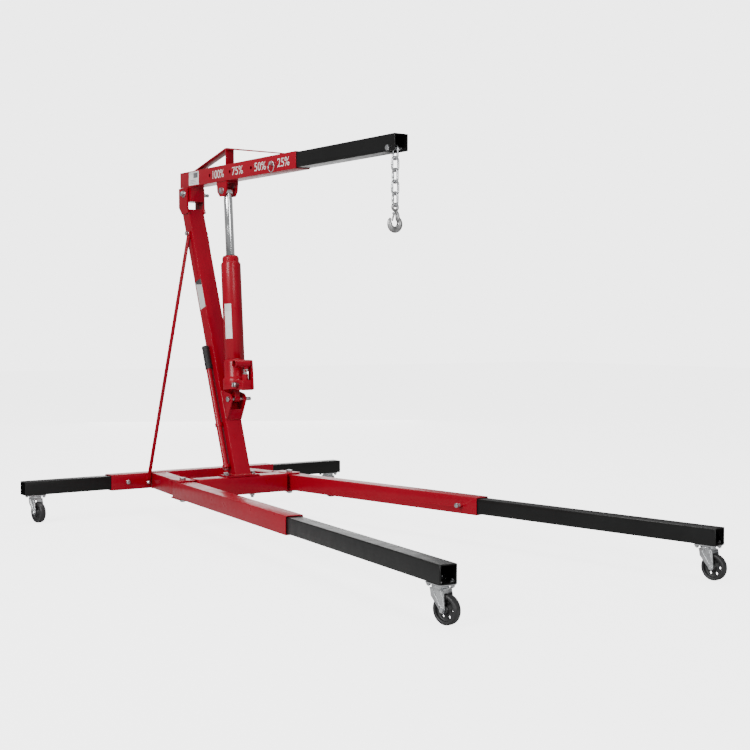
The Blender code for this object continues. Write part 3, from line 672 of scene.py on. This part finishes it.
def smooth_path(points, steps=6):
    """A Catmull-Rom curve through the given points."""
    ends = [points[0] * 2 - points[1], *points, points[-1] * 2 - points[-2]]
    path = []
    for before, start, end, after in zip(ends, ends[1:], ends[2:], ends[3:]):
        for step in range(steps):
            t = step / steps
            path.append(0.5 * (
                2 * start + (end - before) * t + (2 * before - 5 * start + 4 * end - after) * t * t
                + (3 * start - before - 3 * end + after) * t ** 3
            ))
    return path + [points[-1]]


def ring_of(center, first, second, radius, count=48):
    """Points round a circle that lies in the plane of two directions."""
    turns = [2 * math.pi * step / count for step in range(count)]
    return [center + radius * MM * (first * math.cos(t) + second * math.sin(t)) for t in turns]


# ---------------------------------------------------------------- casters


WHEEL_PROFILE = (
    (4.6, -1), (11, -1), (12.2, 0), (13, 8), (15, 9.5), (31, 9.5), (33, 8), (34, 1.5), (36, 0.3),
    (40.5, 0), (43, 1), (44.5, 3.5), (45, 7), (45, 19), (44.5, 22.5), (43, 25), (40.5, 26),
    (36, 25.7), (34, 24.5), (33, 18), (31, 16.5), (15, 16.5), (13, 18), (12.2, 26), (11, 27),
    (4.6, 27), (4.6, -1),
)


def build_caster(name, square_to, carrier):
    """Wheel with a holed web, ribs and axle on the fork, and the plate's bolts."""
    pivot = joint_at(f"{name}_swivel")
    axle = joint_at(f"{name}_spin")
    across = Vector(JOINTS[f"{name}_spin"]["axis"]).normalized()
    ahead = across.cross(UP)

    def spot(forward, side, z):
        return Vector((pivot.x, pivot.y, z * MM)) + (ahead * forward + across * side) * MM

    start = axle - across * 13 * MM
    wheel = turned(WHEEL_PROFILE, start, start + across * MM, 96)
    holes = merged(*[
        turned(((0, 0), (5.2, 0), (5.2, 20), (0, 20)), point - across * 10 * MM, point, 24)
        for point in ring_of(axle, ahead, UP, 23.5, 6)
    ])
    mesh_piece(f"{name}_wheel", cut_away(wheel, holes), f"{name}_wheel", "wheel_plastic",
               node=f"{name}_caster_wheel", sharp=50)
    refined(f"{name}_caster_fork", rim=0.7)
    refined(f"{name}_caster_plate", rim=0.7)
    fork = f"{name}_fork"
    ribs = []
    for side in (-1, 1):
        ribs.append(swept([spot(-11, side * 20, 99), spot(-6, side * 20.4, 88), spot(18, side * 20.2, 56)],
                          0.0019, 12))
        ribs.append(swept([spot(17, side * 20, 99), spot(22, side * 20.4, 84), spot(29, side * 20.2, 58)],
                          0.0019, 12))
    ribs.append(turned(((0, 0), (9, 0), (9, 4), (6, 7), (0, 7)), spot(0, 0, 102.3), spot(0, 0, 95), 32))
    mesh_piece(f"{name}_fork_ribs", merged(*ribs), fork, "zinc", sharp=60)
    for side, label in ((-1, "head"), (1, "nut")):
        screw(f"{name}_axle_{label}", spot(24, side * 20.2, 45), across * side, 13, 5, fork,
              shank=1.6 * (side > 0), radius=4)
    build_plate_bolts(name, pivot, Matrix.Rotation(square_to, 3, "Z"), carrier)


def build_plate_bolts(name, pivot, turn, carrier):
    """Four bolts up through a caster's plate, with their nuts inside the tube."""
    for number, (x, y) in enumerate(((-30, -22), (30, -22), (30, 22), (-30, 22))):
        seat = Vector((pivot.x, pivot.y, 0.1156)) + turn @ Vector((x * MM, y * MM, 0))
        screw(f"{name}_plate_bolt_{number}", seat, -UP, 13, 5, carrier, shank=3, radius=4)
        tip = seat + UP * 0.0083
        mesh_piece(f"{name}_plate_tip_{number}", merged(
            hexagon(tip, tip + UP * 0.0055, 13), thread(tip, tip + UP * 0.011, 4, 1.25)
        ), carrier, "zinc")


def build_casters():
    for side, label in ((1, "left"), (-1, "right")):
        build_caster(f"{label}_rear", math.pi / 2, "base")
        build_caster(f"{label}_front", side * SPLAY, f"{label}_leg")


# ---------------------------------------------------------------- jack and pump handle


def build_jack_base():
    """The turned foot, the pump block with its gusset and tower, and the lower eye."""
    base = merged(
        turned(
            ((0, 0), (54, 0), (56, 0.8), (57, 3), (57, 44), (56, 47), (50, 55), (49, 57), (49, 121),
             (48, 124), (44.5, 133), (43, 134), (0, 134)),
            jack_point(42), jack_point(176), 96,
        ),
        block(at(-6, -24, 574), at(66, 31, 618), 2.5),
        plate(((34, 600), (74, 577), (67, 660), (62, 700), (56, 706), (40, 706), (34, 700)), 24, 31, 1.2),
        turned(
            ((8.6, 4), (8.6, 34), (12.5, 34), (13.5, 33), (13.5, 0), (0, 0), (0, 4), (8.6, 4)),
            at(SOCKET[0], 0, 610), at(SOCKET[0], 0, 700), 64,
        ),
        turned(((0, 0), (13, 0), (14, 1), (14, 25), (13, 26), (0, 26)),
               jack_point(0, -13), jack_point(0, 13), 64),
        block(jack_point(0, -13) - Vector((0.0138, 0, 0)), jack_point(47, 13) + Vector((0.0138, 0, 0)), 0.8),
    )
    mesh_piece("jack_base_body", base, "jack", "red_paint", node="jack_base")


def build_cylinder_and_ram():
    cylinder = turned(
        ((0, 0), (43, 0), (44, 1.2), (44, 420), (43.4, 423.5), (41, 425), (40.4, 429), (37.6, 430),
         (37, 431), (37, 448), (35.5, 451), (33, 457), (31.5, 458), (20.7, 458), (20.5, 452), (20.5, 300),
         (0, 300), (0, 0)),
        jack_point(176.5), jack_point(700), 96,
    )
    mesh_piece("jack_cylinder_body", cylinder, "jack", "red_paint", node="jack_cylinder")
    ram = merged(
        turned(
            ((0, 0), (18.5, 0), (19.5, 1.5), (19.5, 562), (18.6, 563), (18.6, 586), (0, 586)),
            jack_point(325), jack_point(911), 72,
        ),
        turned(
            ((8.6, 0), (15.8, 0), (17, 1.2), (17, 34.8), (15.8, 36), (8.6, 36), (8.6, 0)),
            at(HEAD.x, -18, HEAD.y), at(HEAD.x, 18, HEAD.y), 64,
        ),
    )
    mesh_piece("jack_ram_body", ram, "ram", "chrome", node="jack_ram")


def build_jack():
    build_jack_base()
    build_cylinder_and_ram()
    wiper = turned(((19.7, 0), (25, 0), (24, 3.2), (20.4, 4.4), (19.7, 4.4), (19.7, 0)),
                   jack_point(634.4), jack_point(700), 64)
    mesh_piece("rod_wiper", wiper, "jack", "grip_rubber")
    # Black discs where the gland's spanner holes would be: painted shade of the holes, which are not cut into
    # the gland.
    hole_shade_discs = [turned(((0, 0), (2.2, 0), (2.2, 1.6), (0, 1.6)), start, end, 16) for start, end in zip(
        ring_of(jack_point(616), LEFT, JACK_SIDE, 36.4, 8),
        ring_of(jack_point(616), LEFT, JACK_SIDE, 38.4, 8),
    )]
    mesh_piece("gland_hole_shade", merged(*hole_shade_discs), "jack", "black_paint")
    build_pump()
    for side, label in ((-1, "head"), (1, "nut")):
        screw(f"jack_upper_bolt_{label}", at(HEAD.x, side * 30.2, HEAD.y), (0, side, 0), 24, 9, "boom",
              shank=5 * (side > 0), radius=8)


def build_pump():
    x, z = SOCKET
    gland = turned(((8.4, 0), (10.4, 0), (11, 0.6), (11, 2.4), (9.6, 3.2), (8.4, 3.2), (8.4, 0)),
                   at(x, 0, 644.0), at(x, 0, 660), 40)
    mesh_piece("plunger_gland", gland, "jack", "zinc")
    middle = at(x, 0, PLUNGER_PIN_Z)
    rim = ((0, 0), (5, 0), (5.6, 0.6), (5.6, 2.8), (5, 3.4), (0, 3.4))
    hinge = merged(
        *[turned(rim, at(x + side * 17, 0, PLUNGER_PIN_Z), middle, 32) for side in (-1, 1)],
        swept([at(x + side * 15, 0, PLUNGER_PIN_Z) for side in (-1, 1)], 0.0036, 20),
    )
    mesh_piece("plunger_pin", hinge, "pump_lever", "zinc")
    collar = turned(((13.9, 0), (17.5, 0), (18, 0.6), (18, 5.4), (17.5, 6), (13.9, 6), (13.9, 0)),
                    at(x, -56.3, z), at(x, 0, z), 48)
    mesh_piece("socket_collar", collar, "pump_lever", "red_paint")
    plug = turned(((0, 0), (6, 0), (7, 0.8), (7, 3.4), (6, 4.2), (3.5, 4.2), (3, 3), (0, 3)),
                  at(12, -24.1, 606), at(12, -30, 606), 40)
    mesh_piece("filler_plug", plug, "jack", "red_paint")
    screw("lever_pivot_bolt", at(x, 19.2, z), (0, 1, 0), 14, 6, "pump_lever", shank=3, radius=4)
    bar = swept([at(30, -54, 588.6), at(30, -54, 607.4)], 0.0022, 16)
    mesh_piece("release_valve_bar", bar, "release_valve", "zinc")


def build_handle():
    """A painted tube with a folded rim and a ribbed rubber grip, in its clip on the mast."""
    bottom, split, top = (mast_point(height, -10, HANDLE_SIDE) for height in (232, 664, 766))
    length = (split - bottom).length / MM + 60
    tube = turned(
        ((9.8, 0.4), (10.4, 0), (11.6, 0), (12.5, 1), (12.5, length), (9.8, length), (9.8, 0.4)),
        bottom, top, 64,
    )
    mesh_piece("pump_handle_tube", tube, "handle", "red_paint", node="pump_handle")
    reach = (top - split).length / MM
    profile = [(12.9, 0), (14.7, 0), (15.5, 1.2), (15.5, 6), (14.4, 7.5)]
    for rib in range(13):
        base = 9 + rib * 6.0
        profile += [(14.4, base), (15.4, base + 1.2), (15.4, base + 3.4), (14.4, base + 4.6)]
    profile += [(14.4, reach - 14), (15.5, reach - 12), (15.5, reach - 5), (12.5, reach), (0, reach)]
    mesh_piece("handle_grip_body", turned(profile, split, top, 64), "handle", "grip_rubber",
               node="handle_grip", sharp=60)
    along = (top - bottom).normalized()
    for name, height, length in (("handle_clip", 419, 16.0), ("handle_stop", 240, 14.0)):
        center = mast_point(height, -10, HANDLE_SIDE)
        profile = (
            (13.2, 0), (16.2, 0), (16.8, 0.6), (16.8, length - 0.6), (16.2, length), (13.2, length),
            (13.2, 0),
        )
        loop = turned(profile, center - along * length / 2 * MM, center, 48)
        arm = block((-0.008, -0.004, -length / 2 * MM + 0.001), (0.008, 0.004, length / 2 * MM - 0.001), 0.8)
        side = mast_point(height, -10, -41.6)
        bmesh.ops.transform(arm, matrix=frame_along(side, side + along, (1, 0, 0)), verts=arm.verts)
        mesh_piece(name, merged(loop, arm), "base", "red_paint")
    foot = mast_point(229.4, -10, HANDLE_SIDE)
    rest = turned(((0, 0), (15, 0), (15, 3), (0, 3)), foot - along * 3 * MM, foot, 40)
    mesh_piece("handle_rest", rest, "base", "red_paint")


# ---------------------------------------------------------------- chain, hook and lock pin


def build_chain():
    """Round-wire links, each with the swelling of its butt weld on one side."""
    for number in range(1, 6):
        node = f"chain_link_{number}"
        low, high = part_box(node)
        across = FORWARD if number % 2 else LEFT
        middle = (low + high) / 2
        straight = (high.z - low.z) / MM - 2 * LINK_WIRE - 2 * LINK_RADIUS
        points = []
        for end in (1, -1):
            center = middle + UP * end * straight / 2 * MM
            for step in range(17):
                turn = math.pi * step / 16
                spoke = across * math.cos(turn) + UP * math.sin(turn)
                points.append(center + LINK_RADIUS * MM * end * spoke)
            for step in range(1, 10):
                z = end * (straight / 2 - straight * step / 10)
                points.append(middle + (across * -end * LINK_RADIUS + UP * z) * MM)
        sizes = [LINK_WIRE * MM] * len(points)
        for offset, swell in enumerate((0.15, 0.45, 0.8, 0.45, 0.15)):
            sizes[17 + 2 + offset] += swell * MM
        mesh_piece(f"link_{number}", swept(points, sizes, 16, True), f"link_{number}", "zinc",
                   node=node, sharp=80)


def build_hook():
    """A forged hook: an eye, a tapering bowl swept round it, and the latch's spring and rivet."""
    low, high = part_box("hook")
    x = (low.x + high.x) / 2
    eye_z = high.z - 0.017
    up, side = UP, LEFT
    center = Vector((x, 0, eye_z))
    eye = swept(ring_of(center, side, up, 12.0, 64), 0.005, 20, True)
    bowl = center - up * 0.060 - side * 0.002
    controls = [center + (side * 2 - up * 13) * MM, center + (side * 9.5 - up * 25) * MM]
    widths = [6.8, 7.6]
    for step in range(13):
        turn = math.radians(50 - 230 * step / 12)
        controls.append(bowl + (side * math.cos(turn) + up * math.sin(turn)) * 23 * MM)
        widths.append(9.0 * (1.0 + 0.35 * math.sin(math.pi * step / 12)))
    controls += [bowl + (side * -24 + up * 10) * MM, bowl + (side * -20 + up * 19) * MM]
    widths += [6.6, 3.6]
    steps = 6
    path = smooth_path(controls, steps)
    sizes = []
    for first, second in zip(widths, widths[1:]):
        sizes += [(first + (second - first) * step / steps) * MM for step in range(steps)]
    body = swept(path, sizes + [widths[-1] * MM], 24)
    mesh_piece("hook_body", merged(eye, body), "hook", "forged_steel", node="hook", sharp=80)
    pin = center + (side * -6 - up * 22) * MM
    coil = [
        pin + Vector((-0.0052 + 0.0104 * step / 60, 0, 0))
        + (side * math.cos(step * 0.63) + up * math.sin(step * 0.63)) * 0.0033
        for step in range(61)
    ]
    mesh_piece("latch_spring", swept(coil, 0.0006, 8), "hook", "zinc", sharp=80)
    rivet = turned(((0, 0), (3, 0), (3.6, 0.8), (3.6, 12.2), (3, 13), (0, 13)),
                   pin - Vector((0.0065, 0, 0)), pin, 24)
    mesh_piece("latch_rivet", rivet, "hook", "zinc")


def build_lock_pin():
    x = HOLES[-1][0]
    shank = turned(
        ((0, 0), (5.2, 0), (6.0, 0.8), (6.3, 3), (6.3, 15), (8.0, 15.4), (8.4, 16), (8.4, 18.6),
         (6.5, 19.4), (6.5, 93), (4.5, 96), (0, 96)),
        at(x, -55, PIN_Z), at(x, 41, PIN_Z), 48,
    )
    mesh_piece("lock_pin_body", shank, "lock_pin", "zinc", node="lock_pin")
    loop = ring_of(at(x + 8, -50, PIN_Z - 14), FORWARD, UP, 21.5, 64)
    mesh_piece("lock_pin_ring", swept(loop, 0.0018, 14, True), "lock_pin", "zinc", sharp=80)


# ---------------------------------------------------------------- fasteners, welds, labels


def build_fasteners():
    pivot_x, pivot_z = BOOM_PIVOT
    for side, label in ((-1, "right"), (1, "left")):
        seat = at(-3, side * 66, 200.1)
        screw(f"mast_bolt_{label}", seat, (0, 0, 1), 22, 9, "base")
        low = at(-3, side * 66, 112.6)
        screw(f"mast_nut_{label}", low, (0, 0, -1), 22, 10, "base", shank=9, radius=7)
        screw(f"brace_top_bolt_{label}", at(-390, side * 46.4, 1280), (0, side, 0), 18, 9, "base", 3, 5)
        screw(f"brace_foot_bolt_{label}", at(-398.6, side * 246, 143), (1, 0, 0), 13, 6, "base", 3, 4)
    threads = (
        ("boom_pivot", at(pivot_x, 47, pivot_z), at(pivot_x, 80, pivot_z), M16, "base"),
        ("jack_lower", at(FOOT.x, 38, FOOT.y), at(FOOT.x, 72, FOOT.y), M16, "base"),
        ("chain_bolt", at(CHAIN_X, 32, CHAIN_BOLT_Z), at(CHAIN_X, 44, CHAIN_BOLT_Z), 6.7, "boom_extension"),
    )
    for name, start, end, radius, body in threads:
        mesh_piece(f"{name}_thread", thread(start, end, radius), body, "zinc")
    seats = (
        ("boom_pivot", at(pivot_x, 47.2, pivot_z), 15),
        ("jack_lower", at(FOOT.x, 38.2, FOOT.y), 14),
    )
    for name, spot, radius in seats:
        mesh_piece(f"{name}_washer", washer(spot, LEFT, radius), "base", "zinc")
    spacers = merged(*[
        washer(at(pivot_x, -49.6 - 2.3 * number, pivot_z), LEFT, 15) for number in range(3)
    ])
    mesh_piece("boom_pivot_spacers", spacers, "base", "zinc")
    build_leg_fasteners()


def build_leg_fasteners():
    """Threads of the legs' clamping screws and pivot bolts, and the rear beam's bolts."""
    for side, label in ((1, "left"), (-1, "right")):
        inward = Vector((math.sin(SPLAY), -side * math.cos(SPLAY), 0))
        pivot = joint_at(f"{label}_leg_swing")
        along = Vector((math.cos(SPLAY), side * math.sin(SPLAY), 0))
        crossing = pivot + along * LEG_SCREW * MM
        bare = thread(crossing + inward * 0.0455, crossing + inward * 0.0568, M12)
        mesh_piece(f"{label}_leg_bolt_thread", bare, f"{label}_leg", "zinc")
        start = Vector((pivot.x, pivot.y, 0.1085))
        bare = thread(start, start - UP * 0.0135, M16)
        mesh_piece(f"{label}_pivot_thread", bare, "base", "zinc")
        rear = at(-475.2, side * 346, BEAM_Z)
        mesh_piece(f"{label}_rear_washer", washer(rear, (-1, 0, 0), 13, 1.4), "base", "zinc")
        mesh_piece(f"{label}_rear_thread", thread(rear, rear - FORWARD * 0.0117, M12), "base", "zinc")


def build_welds():
    foot = [(-30.5, -39.5), (34.0, -39.5), (34.0, 39.5), (-30.5, 39.5)]
    weld_bead("mast_foot_weld", [at(x, y, 200.6) for x, y in foot], "base", 3.4, True)
    for side, label in ((-1, "right"), (1, "left")):
        y = side * 39.4
        ear = [at(x, y, z) for x, z in ((-443, 1369), (-409, 1369), (-383, 1375))]
        weld_bead(f"mast_ear_weld_{label}", ear, "base", 2.6)
        clevis = [mast_point(z, 30.6, side * 38.4) for z in (432, 490, 557)]
        weld_bead(f"clevis_weld_{label}", clevis, "base", 2.6)
        lug = [at(x, side * 30.4, BOOM_BOTTOM) for x in (-146, -60)]
        weld_bead(f"bracket_weld_{label}", lug, "boom", 2.4)
        cheek = [at(x, side * 33.0, BOOM_BOTTOM) for x in (-453, -380)]
        weld_bead(f"pivot_block_weld_{label}", cheek, "boom", 2.4)
        weld_bead(f"cross_weld_{label}", [at(x, side * 226.6, 192) for x in (-38, 20)], "base", 2.6)
        weld_bead(f"plate_weld_{label}", [at(-100.6, side * y, 186) for y in (232, 280)], "base", 2.6)
        rail = [(side * 157, 115), (side * 227, 115), (side * 227, 185), (side * 157, 185)]
        weld_bead(f"rail_weld_{label}", [at(-403.5, y, z) for y, z in rail], "base", 2.8, True)
    weld_bead("clevis_foot_weld", [mast_point(430, 31, y) for y in (-34, 34)], "base", 2.8)
    for name, x in (("rear", -389.5), ("front", 425.5)):
        weld_bead(f"truss_weld_{name}", [at(x, y, BOOM_TOP) for y in (-19, 19)], "boom", 2.6)
    for side, label in ((-1, "right"), (1, "left")):
        for name, x in (("rear", -379), ("front", 411)):
            ends = [at(x - 9, side * 20.2, BOOM_TOP), at(x + 9, side * 20.2, BOOM_TOP)]
            weld_bead(f"truss_{name}_weld_{label}", ends, "boom", 2.0)
        post = [at(-82 + side * 3.4, y, BOOM_TOP) for y in (-20, 20)]
        weld_bead(f"truss_post_weld_{label}", post, "boom", 2.2)


def lettering(name, text, height, width, origin, right, up, body):
    """Printed characters: flat outlines turned into a very thin solid."""
    curve = bpy.data.curves.new(name, "FONT")
    curve.body = text
    curve.size = height * MM / 0.70
    curve.extrude = 0.00012
    holder = bpy.data.objects.new(name, curve)
    bpy.context.scene.collection.objects.link(holder)
    bpy.context.view_layer.update()
    graph = bpy.context.evaluated_depsgraph_get()
    bm = bmesh.new()
    bm.from_mesh(holder.evaluated_get(graph).to_mesh())
    bpy.data.objects.remove(holder)
    bpy.data.curves.remove(curve)
    spread = [vert.co.x for vert in bm.verts]
    squeeze = width * MM / (max(spread) - min(spread))
    bmesh.ops.scale(bm, vec=(squeeze, 1, 1), verts=bm.verts)
    out = right.cross(up)
    place = Matrix.Translation(origin) @ Matrix((right, up, out)).transposed().to_4x4()
    bmesh.ops.transform(bm, matrix=place, verts=bm.verts)
    mesh_piece(name, bm, body, "red_paint", NUMBER_INK, sharp=30)


def build_labels():
    for number, (x, text) in enumerate(HOLES):
        corner = at(x + MARK_GAPS[number], -BOOM_SIDE, MARK_Z)
        width = 68 + 8 * len(text)
        lettering(f"reach_mark_{number}", text, MARK_HEIGHT, width, corner, FORWARD, UP, "boom")
    mesh_piece("boom_label", block(at(-395, -35.4, 1499), at(-303, -35.0, 1560), 0.1, 1), "boom",
               "red_paint", PALE_LABEL)
    marks = merged(
        block(at(-352, -35.6, 1530), at(-312, -35.3, 1553), 0.1, 1),
        *[block(at(-383, -35.6, z), at(-325, -35.3, z + 1.6), 0.1, 1) for z in (1506, 1513, 1520)],
    )
    mesh_piece("boom_label_marks", marks, "boom", "red_paint", MARK_GREY)
    low, high = mast_point(934, 4, -39.2), mast_point(1062, 4, -39.2)
    card = block((-0.025, -0.0004, 0), (0.025, 0.0004, (high - low).length), 0.2, 1)
    place = frame_along(low, high, (0, 1, 0))
    bmesh.ops.transform(card, matrix=place, verts=card.verts)
    mesh_piece("data_plate", card, "base", "red_paint", PLATE_LABEL)
    for number, (forward, along) in enumerate(((-17, 6), (25, 6), (-17, 121), (25, 121))):
        seat = mast_point(934 + along, forward, -39.4)
        rivet = turned(((0, 0), (2.2, 0), (2.0, 0.8), (1.2, 1.3), (0, 1.4)), seat, seat - LEFT, 20)
        mesh_piece(f"data_plate_rivet_{number}", rivet, "base", "zinc")
    build_jack_label()


def build_jack_label():
    """A blank sticker wrapped round the jack's cylinder."""
    bm = bmesh.new()
    rows = []
    for distance in (266, 420):
        row = []
        for step in range(13):
            turn = math.radians(-82 + 44 * step / 12)
            out = JACK_SIDE * math.cos(turn) + LEFT * math.sin(turn)
            row.append([bm.verts.new(jack_point(distance) + out * radius * MM) for radius in (44.02, 44.3)])
        rows.append(row)
    for step in range(12):
        (a, b), (c, d) = rows[0][step], rows[0][step + 1]
        (e, f), (g, h) = rows[1][step], rows[1][step + 1]
        for corners in ((b, d, h, f), (a, e, g, c), (a, c, d, b), (e, f, h, g)):
            bm.faces.new(corners)
    for step in (0, 12):
        (a, b), (e, f) = rows[0][step], rows[1][step]
        bm.faces.new((a, b, f, e))
    mesh_piece("jack_label", bm, "jack", "red_paint", PALE_LABEL)


build_camera()
build_studio()
refine_structure()
build_casters()
build_jack()
build_handle()
build_chain()
build_hook()
build_lock_pin()
build_fasteners()
build_welds()
build_labels()
for node_name, node_object in NODES.items():
    node_object.data.materials.clear()
    node_object.data.materials.append(MATERIALS[SLOT_OF[node_name]])
